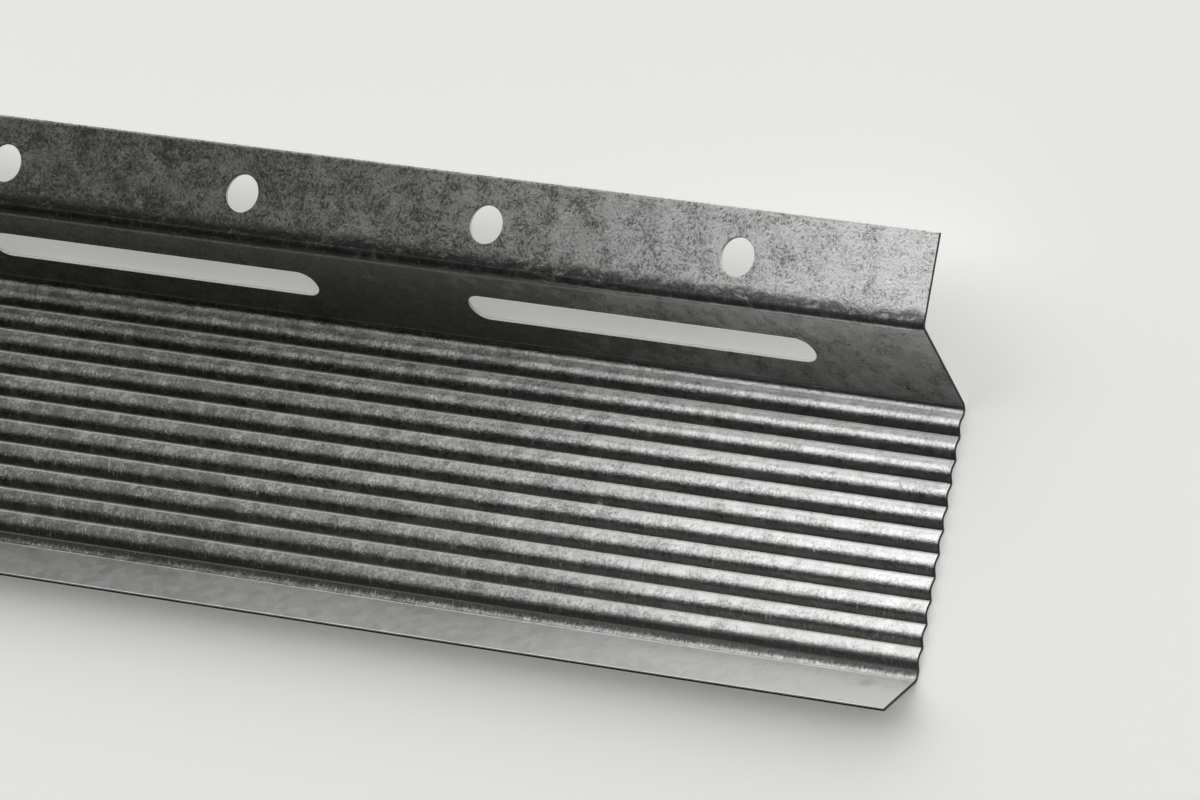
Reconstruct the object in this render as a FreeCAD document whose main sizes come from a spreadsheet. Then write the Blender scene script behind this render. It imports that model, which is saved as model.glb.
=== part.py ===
# Resilient channel: one strip of galvanised steel sheet, roll-formed and punched, lying on its ribbed face.
#
# Frame, in millimetres: X runs along the channel, Y across it from the lip to the flange, and Z up from
# the floor under the ribbed face. The origin is the middle of the length and of the width, on that floor.
# Across the section the sheet runs from the flange's free edge, round a bend, down the slotted web, round
# a second bend, along the ribbed face and round a third bend to the lip.

import FreeCAD, Part
import os
from enum import IntEnum
from math import cos, pi, radians, sin

import Sketcher

# Driving dimensions: alias, value in millimetres or degrees, meaning
DIMENSIONS = (
    ("channel_length", 3000, "length of the strip, as it is sold"),
    ("sheet_thickness", 0.5, "thickness of the steel sheet"),
    ("section_depth", 14, "floor to the top of the flange"),
    ("bend_radius", 1, "inside radius of the three bends"),
    ("flange_width", 12.4, "free edge of the flange to its corner with the web"),
    ("web_angle", 58, "slope of the web from the floor, degrees"),
    ("web_margin", 0.25, "flat strip of the face between the web's bend and the first rib"),
    ("rib_pitch", 3.1, "distance between neighbouring ribs"),
    ("rib_depth", 0.55, "height of a rib from crest to valley"),
    ("rib_flank", 0.9, "straight flank of a rib between its round crest and its round valley"),
    ("rib_count", 11, "ribs across the face"),
    ("lip_margin", 0.55, "flat strip of the face between the last rib and the lip's bend"),
    ("lip_width", 8.4, "corner with the face to the free edge of the lip"),
    ("lip_angle", 55, "slope of the lip from the floor, degrees"),
    ("hole_diameter", 5.2, "screw holes in the flange"),
    ("hole_inset", 6.5, "free edge of the flange to the middle of the holes"),
    ("hole_pitch", 40, "distance between neighbouring holes"),
    ("first_hole", 30, "end of the strip to the middle of its first hole"),
    ("slot_length", 55, "length of a slot in the web, over its round ends"),
    ("slot_width", 4.8, "width of a slot in the web"),
    ("slot_pitch", 80, "distance between neighbouring slots"),
    ("first_slot", 20, "end of the strip to the near end of its first slot"),
)

# Sizes that follow from the driving ones, as expressions
OUTSIDE_RADIUS = "(Sizes.bend_radius + Sizes.sheet_thickness)"
WEB_HEIGHT = "(Sizes.section_depth - Sizes.sheet_thickness)"
WEB_REACH = f"{WEB_HEIGHT} / tan(Sizes.web_angle)"
WEB_BENDS_HEIGHT = f"(Sizes.bend_radius + {OUTSIDE_RADIUS}) * (1 - cos(Sizes.web_angle))"
FLANGE_RUN = "Sizes.flange_width - Sizes.bend_radius * tan(Sizes.web_angle / 2)"
WEB_RUN = f"({WEB_HEIGHT} - {WEB_BENDS_HEIGHT}) / sin(Sizes.web_angle)"
WEB_FOOT = f"{OUTSIDE_RADIUS} * tan(Sizes.web_angle / 2)"
LIP_FOOT = f"{OUTSIDE_RADIUS} * tan(Sizes.lip_angle / 2)"
LIP_RUN = f"Sizes.lip_width - {LIP_FOOT}"

# A rib is a wave of equal arcs and straight flanks: over half a pitch the sheet climbs by the rib's depth
RIB_TURN = "2 * atan(Sizes.rib_depth / (Sizes.rib_pitch / 2 + Sizes.rib_flank))"
RIB_ARCS_REACH = f"(Sizes.rib_pitch / 2 - Sizes.rib_flank * cos({RIB_TURN}))"
RIB_RADIUS = f"{RIB_ARCS_REACH} / (2 * sin({RIB_TURN})) - Sizes.sheet_thickness / 2"

RIBS_WIDTH = "Sizes.web_margin + Sizes.rib_count * Sizes.rib_pitch + Sizes.lip_margin"
FACE_WIDTH = f"{WEB_FOOT} + {RIBS_WIDTH} + {LIP_FOOT}"
SECTION_WIDTH = f"Sizes.flange_width + {WEB_REACH} + {FACE_WIDTH} + Sizes.lip_width * cos(Sizes.lip_angle)"

HOLE_COUNT = "floor((Sizes.channel_length - 2 * Sizes.first_hole) / Sizes.hole_pitch) + 1"
SLOTTED_LENGTH = "(Sizes.channel_length - 2 * Sizes.first_slot - Sizes.slot_length)"
SLOT_COUNT = f"floor({SLOTTED_LENGTH} / Sizes.slot_pitch) + 1"
SLOT_CUT = "4 * Sizes.sheet_thickness"

VOLUME_TOLERANCE = 1e-3


class Hollow(IntEnum):
    """Side of the sheet that the centre of a bend lies on, as the sense of its turn."""

    BELOW = 1
    ABOVE = -1


class Point(IntEnum):
    """The two ends of a line or arc in a sketch, and a circle's middle."""

    START = 1
    END = 2
    MIDDLE = 3


class Axis(IntEnum):
    """A sketch's own axes. The start of the horizontal one is the sketch's origin."""

    HORIZONTAL = -1
    VERTICAL = -2


ORIGIN = (Axis.HORIZONTAL, Point.START)


def make_sheet(doc):
    """Write the driving dimensions into a spreadsheet, one named cell each."""
    sheet = doc.addObject("Spreadsheet::Sheet", "Sizes")
    for row, (alias, value, meaning) in enumerate(DIMENSIONS, start=1):
        sheet.set(f"A{row}", meaning)
        sheet.set(f"B{row}", str(value))
        sheet.setAlias(f"B{row}", alias)
    doc.recompute()
    return sheet


def number(owner, expression):
    """The value of an expression, as a plain number."""
    value = owner.evalExpression(expression)
    return getattr(value, "Value", value)


def new_sketch(body, name, plane_role):
    """A sketch in the body, flat on one of its origin planes."""
    sketch = body.newObject("Sketcher::SketchObject", name)
    sketch.AttachmentSupport = [(origin_feature(body, plane_role), "")]
    sketch.MapMode = "FlatFace"
    return sketch


def origin_feature(body, role):
    """One of the body's own origin planes or axes."""
    return next(feature for feature in body.Origin.OriginFeatures if feature.Role == role)


def bind(sketch, *ties):
    """Add constraints to a sketch in one go, each with the expression that ties it to the spreadsheet or None."""
    first = sketch.ConstraintCount
    sketch.addConstraint([constraint for constraint, _ in ties])
    for index, (_, expression) in enumerate(ties, start=first):
        if expression:
            sketch.setExpression(f"Constraints[{index}]", expression)


def section_path(rib_count):
    """The sheet's way across the section: straight runs, and bends as radius, turn and hollow side."""
    half_wave = ("bend", RIB_RADIUS, RIB_TURN, Hollow.ABOVE)
    valley = ("bend", RIB_RADIUS, f"2 * {RIB_TURN}", Hollow.ABOVE)
    ridge = ("bend", RIB_RADIUS, f"2 * {RIB_TURN}", Hollow.BELOW)
    flank = ("run", "Sizes.rib_flank")
    ribs = [half_wave, flank] + [ridge, flank, valley, flank] * (rib_count - 1) + [ridge, flank, half_wave]
    return [
        ("run", FLANGE_RUN),
        ("bend", "Sizes.bend_radius", "Sizes.web_angle", Hollow.BELOW),
        ("run", WEB_RUN),
        ("bend", "Sizes.bend_radius", "Sizes.web_angle", Hollow.ABOVE),
        ("run", "Sizes.web_margin"),
        *ribs,
        ("run", "Sizes.lip_margin"),
        ("bend", "Sizes.bend_radius", "Sizes.lip_angle", Hollow.ABOVE),
        ("run", LIP_RUN),
    ]


def trace_side(sketch, path, height, far_side):
    """Draw one side of the sheet along the path, from the flange's free edge at the given height.

    A bend has the path's own radius on the side that its hollow is on, and one sheet thickness more on
    the other. Returns the two free ends of the traced side, each as a sketch element and its end.
    """
    heading = pi
    place = FreeCAD.Vector(0, number(sketch, height), 0)
    first_end = None
    last_end = None
    ties = []
    for kind, *sizes in path:
        ahead = FreeCAD.Vector(cos(heading), sin(heading), 0)
        if kind == "run":
            (length,) = sizes
            next_place = place + ahead * number(sketch, length)
            element = sketch.addGeometry(Part.LineSegment(place, next_place), False)
            near, far = Point.START, Point.END
            dimensions = [("Distance", length)]
        else:
            inner_radius, turn, hollow = sizes
            radius = f"{inner_radius} + Sizes.sheet_thickness" if hollow == far_side else inner_radius
            reach = number(sketch, radius)
            aside = FreeCAD.Vector(-ahead.y, ahead.x, 0) * hollow
            centre = place + aside * reach
            start_angle = heading - hollow * pi / 2
            end_angle = start_angle + hollow * radians(number(sketch, turn))
            next_place = centre + FreeCAD.Vector(cos(end_angle), sin(end_angle), 0) * reach
            circle = Part.Circle(centre, FreeCAD.Vector(0, 0, 1), reach)
            span = sorted((start_angle, end_angle))
            element = sketch.addGeometry(Part.ArcOfCircle(circle, *span), False)
            near, far = (Point.START, Point.END) if hollow == Hollow.BELOW else (Point.END, Point.START)
            dimensions = [("Radius", radius), ("Angle", turn)]
            heading += end_angle - start_angle
        if last_end is None:
            first_end = (element, near)
            ties.append((Sketcher.Constraint("Horizontal", element), None))
            ties.append((Sketcher.Constraint("PointOnObject", element, near, Axis.VERTICAL), None))
            ties.append((Sketcher.Constraint("DistanceY", *ORIGIN, element, near, place.y), height))
        else:
            ties.append((Sketcher.Constraint("Tangent", *last_end, element, near), None))
        for name, expression in dimensions:
            value = number(sketch, expression)
            start_value = radians(value) if name == "Angle" else value
            ties.append((Sketcher.Constraint(name, element, start_value), expression))
        last_end = (element, far)
        place = next_place
    bind(sketch, *ties)
    return first_end, last_end


def join_ends(sketch, one_end, other_end):
    """Close the section with the cut edge of the sheet between two free ends."""
    edge = Part.LineSegment(sketch.getPoint(*one_end), sketch.getPoint(*other_end))
    element = sketch.addGeometry(edge, False)
    sketch.addConstraint(Sketcher.Constraint("Coincident", element, Point.START, *one_end))
    sketch.addConstraint(Sketcher.Constraint("Coincident", element, Point.END, *other_end))


def roll_form(doc, body):
    """The bent and ribbed sheet, before punching."""
    sketch = new_sketch(body, "section", "YZ_Plane")
    doc.recompute()
    path = section_path(round(number(sketch, "Sizes.rib_count")))
    lower = trace_side(sketch, path, WEB_HEIGHT, Hollow.ABOVE)
    upper = trace_side(sketch, path, "Sizes.section_depth", Hollow.BELOW)
    for lower_end, upper_end in zip(lower, upper):
        join_ends(sketch, lower_end, upper_end)
    strip = body.newObject("PartDesign::Pad", "rolled_strip")
    strip.Profile = sketch
    strip.SideType = "Symmetric"
    strip.setExpression("Length", "Sizes.channel_length")
    doc.recompute()
    return strip


def draw_hole(body):
    """The circle of the first screw hole, below the flange."""
    sketch = new_sketch(body, "hole_outline", "XY_Plane")
    along = "Sizes.channel_length / 2 - Sizes.first_hole"
    inset = number(sketch, "Sizes.hole_inset")
    middle = FreeCAD.Vector(number(sketch, along), -inset, 0)
    radius = number(sketch, "Sizes.hole_diameter / 2")
    circle = Part.Circle(middle, FreeCAD.Vector(0, 0, 1), radius)
    element = sketch.addGeometry(circle, False)
    bind(
        sketch,
        (Sketcher.Constraint("DistanceX", *ORIGIN, element, Point.MIDDLE, middle.x), along),
        (Sketcher.Constraint("DistanceY", element, Point.MIDDLE, *ORIGIN, inset), "Sizes.hole_inset"),
        (Sketcher.Constraint("Diameter", element, 2 * radius), "Sizes.hole_diameter"),
    )
    return sketch


def draw_slot(body):
    """The round-ended outline of the first slot, on a plane along the web and halfway up it."""
    sketch = new_sketch(body, "slot_outline", "XY_Plane")
    sketch.AttachmentOffset = FreeCAD.Placement(
        FreeCAD.Vector(0, 0, 0), FreeCAD.Rotation(FreeCAD.Vector(1, 0, 0), number(sketch, "Sizes.web_angle"))
    )
    sketch.setExpression("AttachmentOffset.Base.y", f"-Sizes.flange_width - {WEB_REACH} / 2")
    sketch.setExpression("AttachmentOffset.Base.z", f"{WEB_HEIGHT} / 2")
    sketch.setExpression("AttachmentOffset.Rotation.Angle", "Sizes.web_angle")
    along = "Sizes.channel_length / 2 - Sizes.first_slot - Sizes.slot_width / 2"
    between = "Sizes.slot_length - Sizes.slot_width"
    radius = number(sketch, "Sizes.slot_width / 2")
    right_x = number(sketch, along)
    left_x = right_x - number(sketch, between)
    up = FreeCAD.Vector(0, 0, 1)
    right = sketch.addGeometry(
        Part.ArcOfCircle(Part.Circle(FreeCAD.Vector(right_x, 0, 0), up, radius), -pi / 2, pi / 2), False
    )
    left = sketch.addGeometry(
        Part.ArcOfCircle(Part.Circle(FreeCAD.Vector(left_x, 0, 0), up, radius), pi / 2, 3 * pi / 2), False
    )
    top = sketch.addGeometry(
        Part.LineSegment(FreeCAD.Vector(right_x, radius, 0), FreeCAD.Vector(left_x, radius, 0)), False
    )
    bottom = sketch.addGeometry(
        Part.LineSegment(FreeCAD.Vector(left_x, -radius, 0), FreeCAD.Vector(right_x, -radius, 0)), False
    )
    for one, one_end, other, other_end in (
        (right, Point.END, top, Point.START),
        (top, Point.END, left, Point.START),
        (left, Point.END, bottom, Point.START),
        (bottom, Point.END, right, Point.START),
    ):
        sketch.addConstraint(Sketcher.Constraint("Tangent", one, one_end, other, other_end))
    sketch.addConstraint(Sketcher.Constraint("Equal", right, left))
    for arc in (right, left):
        sketch.addConstraint(Sketcher.Constraint("PointOnObject", arc, Point.MIDDLE, Axis.HORIZONTAL))
    gap = right_x - left_x
    bind(
        sketch,
        (Sketcher.Constraint("DistanceX", *ORIGIN, right, Point.MIDDLE, right_x), along),
        (Sketcher.Constraint("DistanceX", left, Point.MIDDLE, right, Point.MIDDLE, gap), between),
        (Sketcher.Constraint("Radius", right, radius), "Sizes.slot_width / 2"),
    )
    return sketch


def repeat_along(body, name, feature, pitch, count):
    """Repeat a cut along the strip, from its first end towards the other."""
    pattern = body.newObject("PartDesign::LinearPattern", name)
    pattern.Originals = [feature]
    pattern.Direction = (origin_feature(body, "X_Axis"), [""])
    pattern.Reversed = True
    pattern.Mode = "Spacing"
    pattern.setExpression("Offset", pitch)
    pattern.setExpression("Occurrences", count)
    body.Tip = pattern
    return pattern


def punch_holes(doc, body):
    """The row of round screw holes along the middle of the flange."""
    sketch = draw_hole(body)
    doc.recompute()
    hole = body.newObject("PartDesign::Pocket", "first_screw_hole")
    hole.Profile = sketch
    hole.Type = "ThroughAll"
    hole.Reversed = True
    doc.recompute()
    holes = repeat_along(body, "screw_holes", hole, "Sizes.hole_pitch", HOLE_COUNT)
    doc.recompute()
    return holes


def punch_slots(doc, body):
    """The row of long slots that leave the web as narrow, springy bridges."""
    sketch = draw_slot(body)
    doc.recompute()
    slot = body.newObject("PartDesign::Pocket", "first_web_slot")
    slot.Profile = sketch
    slot.Type = "Length"
    slot.SideType = "Symmetric"
    slot.setExpression("Length", SLOT_CUT)
    doc.recompute()
    slots = repeat_along(body, "web_slots", slot, "Sizes.slot_pitch", SLOT_COUNT)
    doc.recompute()
    return slots


def check_cut(before, after, outline_area, count, thickness):
    """Stop unless a row of cuts took away the sheet inside its outlines."""
    wanted = outline_area * thickness * count
    taken = before.Shape.Volume - after.Shape.Volume
    if abs(taken - wanted) > VOLUME_TOLERANCE * wanted:
        raise RuntimeError(f"{after.Name} took {taken:.3f} cubic mm, not {wanted:.3f}")


def check_document(doc, body):
    """Stop if any object failed or the finished solid is not one valid solid."""
    failed = [item.Name for item in doc.Objects if {"Invalid", "Error"} & set(item.State)]
    if failed:
        raise RuntimeError(f"failed objects: {failed}")
    shape = body.Shape
    if shape.isNull() or not shape.isValid() or len(shape.Solids) != 1:
        raise RuntimeError(f"{body.Label} is not one valid solid")


def main():
    """Build the channel and write its solid."""
    doc = FreeCAD.newDocument("resilient_channel_model")
    sheet = make_sheet(doc)
    body = doc.addObject("PartDesign::Body", "resilient_channel")
    body.Label = "resilient_channel"
    strip = roll_form(doc, body)
    holes = punch_holes(doc, body)
    slots = punch_slots(doc, body)
    body.setExpression("Placement.Base.y", f"({SECTION_WIDTH}) / 2")
    doc.recompute()

    hole_area = number(body, "pi * Sizes.hole_diameter ^ 2 / 4")
    slot_area = number(body, "Sizes.slot_width * (Sizes.slot_length - Sizes.slot_width)")
    slot_area += number(body, "pi * Sizes.slot_width ^ 2 / 4")
    check_cut(strip, holes, hole_area, holes.Occurrences, sheet.sheet_thickness)
    check_cut(holes, slots, slot_area, slots.Occurrences, sheet.sheet_thickness)
    check_document(doc, body)

    os.makedirs("parts", exist_ok=True)
    body.Shape.exportStep(os.path.join("parts", f"{body.Label}.step"))
    print(f"{body.Label}: {holes.Occurrences} holes, {slots.Occurrences} slots, {body.Shape.BoundBox}")


main()
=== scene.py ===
"""A resilient channel: one strip of galvanised sheet, roll-formed, ribbed and punched.

The strip lies on a pale floor with its ribbed face down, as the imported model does. Sizes are in
millimetres and degrees until a mesh is made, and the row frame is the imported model's: X along the
strip, Y from the lip to the flange, Z up from the floor.
"""

from __future__ import annotations

import logging
import math
from dataclasses import dataclass, field
from enum import Enum
from functools import partial
from typing import Any, NamedTuple

import bpy
import numpy as np
from mathutils import Matrix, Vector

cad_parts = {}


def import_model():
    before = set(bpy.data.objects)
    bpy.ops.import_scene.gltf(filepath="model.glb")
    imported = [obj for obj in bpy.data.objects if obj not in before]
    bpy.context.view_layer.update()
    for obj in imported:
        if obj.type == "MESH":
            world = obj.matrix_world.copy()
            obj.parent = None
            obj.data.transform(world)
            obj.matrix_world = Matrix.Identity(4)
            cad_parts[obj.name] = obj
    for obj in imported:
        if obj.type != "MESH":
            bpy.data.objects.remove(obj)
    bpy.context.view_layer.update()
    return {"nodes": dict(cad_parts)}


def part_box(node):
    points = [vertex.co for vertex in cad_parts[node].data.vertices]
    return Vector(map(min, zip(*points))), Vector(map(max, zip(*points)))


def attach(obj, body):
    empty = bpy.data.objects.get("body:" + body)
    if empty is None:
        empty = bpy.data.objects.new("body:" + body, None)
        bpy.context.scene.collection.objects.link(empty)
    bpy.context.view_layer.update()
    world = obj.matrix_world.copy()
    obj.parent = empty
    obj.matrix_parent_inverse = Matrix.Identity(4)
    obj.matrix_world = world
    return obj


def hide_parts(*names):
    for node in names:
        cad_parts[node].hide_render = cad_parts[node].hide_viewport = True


log = logging.getLogger("resilient_channel")

NODE = "resilient_channel"
BODY = "root"
MILLIMETRE = 0.001  # in metres
WELD = 1e-4  # millimetres within which two vertices are one
# Places of the Mix node's sockets for colours, which share their names with its other sockets.
MIX_FACTOR, MIX_FIRST, MIX_SECOND, MIX_RESULT = 0, 6, 7, 2

Span = tuple[float, float]  # where a change begins, and where it is complete
Row = tuple[Any, ...]  # of a finish's recipe: a title, a rule and the rule's terms


class Zone(Enum):
    """Stretches of the sheet that weather in their own way, by their place in a vertex's mark."""

    FLANGE = 0
    WEB = 1
    LIP = 2
    FACE = 3


class Kind(Enum):
    """Blender's names for the nodes that the finishes and the light are made of."""

    ATTRIBUTE = "ShaderNodeAttribute"
    BACKGROUND = "ShaderNodeBackground"
    BUMP = "ShaderNodeBump"
    COORDINATES = "ShaderNodeTexCoord"
    CRYSTALS = "ShaderNodeTexVoronoi"
    LIGHT_PATH = "ShaderNodeLightPath"
    MAPPING = "ShaderNodeMapping"
    MATH = "ShaderNodeMath"
    MATERIAL_OUTPUT = "ShaderNodeOutputMaterial"
    MIX = "ShaderNodeMix"
    NOISE = "ShaderNodeTexNoise"
    PARTS = "ShaderNodeSeparateXYZ"
    PRINCIPLED = "ShaderNodeBsdfPrincipled"
    RANGE = "ShaderNodeMapRange"
    TURN = "ShaderNodeVectorRotate"
    VECTOR_MATH = "ShaderNodeVectorMath"
    WORLD_OUTPUT = "ShaderNodeOutputWorld"


class Rule(Enum):
    """What a row of a finish's recipe does: the node's kind, its output, and its setting."""

    STEP = (Kind.RANGE, "Result", "interpolation_type", "SMOOTHSTEP")
    TIMES = (Kind.MATH, "Value", "operation", "MULTIPLY")
    TIMES_PLUS = (Kind.MATH, "Value", "operation", "MULTIPLY_ADD")
    PLUS = (Kind.MATH, "Value", "operation", "ADD")
    MINUS = (Kind.MATH, "Value", "operation", "SUBTRACT")
    LARGER = (Kind.MATH, "Value", "operation", "MAXIMUM")
    SMALLER = (Kind.MATH, "Value", "operation", "MINIMUM")
    FRACTION = (Kind.MATH, "Value", "operation", "FRACT")
    UNSIGNED = (Kind.MATH, "Value", "operation", "ABSOLUTE")
    APART = (Kind.VECTOR_MATH, "Value", "operation", "DISTANCE")


def linear(tone: str) -> tuple[float, float, float, float]:
    """Turn an sRGB hex colour into a linear colour with full alpha.

    Args:
        tone: Colour such as "#c0c4c2".

    Returns:
        Red, green, blue and alpha. Each channel is the sRGB curve undone: a straight part near
        black, and a power of 2.4 above it.
    """
    coded = np.array([int(tone[k : k + 2], 16) for k in (1, 3, 5)]) / 255
    channels = np.where(coded <= 0.04045, coded / 12.92, ((coded + 0.055) / 1.055) ** 2.4)
    return (*channels.tolist(), 1.0)


def add_node(
    tree: bpy.types.NodeTree,
    kind: Kind,
    inputs: dict[str | int, Any] | None = None,
    output: str | int = 0,
    **settings: Any,
) -> Any:
    """Add a node, with its settings, its sockets' values and its links.

    Args:
        tree: Node tree that takes the node.
        kind: Which node it is.
        inputs: Value or linked output for each input socket, by name or place.
        output: Name or place of the wanted output.
        **settings: Properties of the node.

    Returns:
        The wanted output socket, or nothing for a node that has none.
    """
    made = tree.nodes.new(kind.value)
    for name, value in settings.items():
        setattr(made, name, value)
    for socket, value in (inputs or {}).items():
        if isinstance(value, bpy.types.NodeSocket):
            tree.links.new(value, made.inputs[socket])
        else:
            made.inputs[socket].default_value = value
    return made.outputs[output] if made.outputs else None


@dataclass
class Surface:
    """Vertices of one surface with what the finish reads from them, and its triangles."""

    places: np.ndarray
    normals: np.ndarray
    rolled: np.ndarray
    zones: np.ndarray
    cut: np.ndarray
    triangles: np.ndarray

    @staticmethod
    def grid_triangles(numbers: np.ndarray, keep: np.ndarray | None = None) -> np.ndarray:
        """Split the cells of a grid of vertex numbers into two triangles each.

        Args:
            numbers: Vertex numbers on a grid.
            keep: Which cells to use, one fewer than the grid each way.

        Returns:
            Triangles as rows of three vertex numbers.
        """
        a, b = numbers[:-1, :-1], numbers[1:, :-1]
        c, d = numbers[1:, 1:], numbers[:-1, 1:]
        cells = np.stack([a, b, c, a, c, d], axis=-1)
        cells = cells.reshape(-1, 6) if keep is None else cells[keep]
        return cells.reshape(-1, 3)

    @staticmethod
    def join(parts: list[Surface]) -> Surface:
        """Weld surfaces where their vertices meet, and face every triangle the way of its normals.

        Args:
            parts: Surfaces that share edges.

        Returns:
            One surface without doubled vertices or empty triangles.
        """
        starts = np.cumsum([0] + [len(part.places) for part in parts])
        places = np.concatenate([part.places for part in parts])
        triangles = np.concatenate([part.triangles + start for part, start in zip(parts, starts)])
        steps = np.round(places / WELD)
        _, first, back = np.unique(steps, axis=0, return_index=True, return_inverse=True)
        triangles = back.reshape(-1)[triangles]
        a, b, c = triangles.T
        triangles = triangles[(a != b) & (b != c) & (c != a)]
        normals = np.concatenate([part.normals for part in parts])[first]
        places = places[first]
        corners = places[triangles]
        facing = np.cross(corners[:, 1] - corners[:, 0], corners[:, 2] - corners[:, 0])
        turned = np.einsum("ij,ij->i", facing, normals[triangles].sum(axis=1)) < 0
        triangles[turned] = triangles[turned][:, ::-1]
        rolled = np.concatenate([part.rolled for part in parts])[first]
        zones = np.concatenate([part.zones for part in parts])[first]
        cut = np.concatenate([part.cut for part in parts])[first]
        return Surface(places, normals, rolled, zones, cut, triangles)

    def mesh(self, name: str) -> bpy.types.Mesh:
        """Make a smooth Blender mesh of the surface, in metres.

        Args:
            name: Name of the mesh.

        Returns:
            The mesh, with the point attributes that the finish reads.
        """
        made = bpy.data.meshes.new(name)
        made.vertices.add(len(self.places))
        made.vertices.foreach_set("co", (self.places * MILLIMETRE).astype(np.float32).ravel())
        made.loops.add(self.triangles.size)
        made.loops.foreach_set("vertex_index", self.triangles.astype(np.int32).ravel())
        made.polygons.add(len(self.triangles))
        loop_starts = np.arange(0, self.triangles.size, 3, dtype=np.int32)
        made.polygons.foreach_set("loop_start", loop_starts)
        made.update(calc_edges=True)
        made.validate()
        made.normals_split_custom_set_from_vertices(self.normals.astype(np.float32))
        for title, values in (("rolled", self.rolled), ("zones", self.zones)):
            layer = made.attributes.new(title, "FLOAT_VECTOR", "POINT")
            layer.data.foreach_set("vector", values.astype(np.float32).ravel())
        layer = made.attributes.new("cut", "FLOAT", "POINT")
        layer.data.foreach_set("value", self.cut.astype(np.float32))
        return made


class Stretch(NamedTuple):
    """A stretch of the sheet: length along the sheet's middle, turn in radians, steps and zone."""

    name: str
    length: float
    turn: float
    steps: int
    zone: Zone


@dataclass
class Trace:
    """The middle of the sheet across the section, as points from the flange's free edge on."""

    middle: np.ndarray
    heading: np.ndarray
    across: np.ndarray
    zones: np.ndarray
    starts: dict[str, int]

    def along(self) -> np.ndarray:
        """Unit vectors in Y and Z along the sheet, away from the flange's free edge."""
        return np.stack([np.cos(self.heading), np.sin(self.heading)], axis=-1)

    def upward(self) -> np.ndarray:
        """Unit vectors in Y and Z out of the sheet's upper side."""
        return np.stack([np.sin(self.heading), -np.cos(self.heading)], axis=-1)


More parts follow.
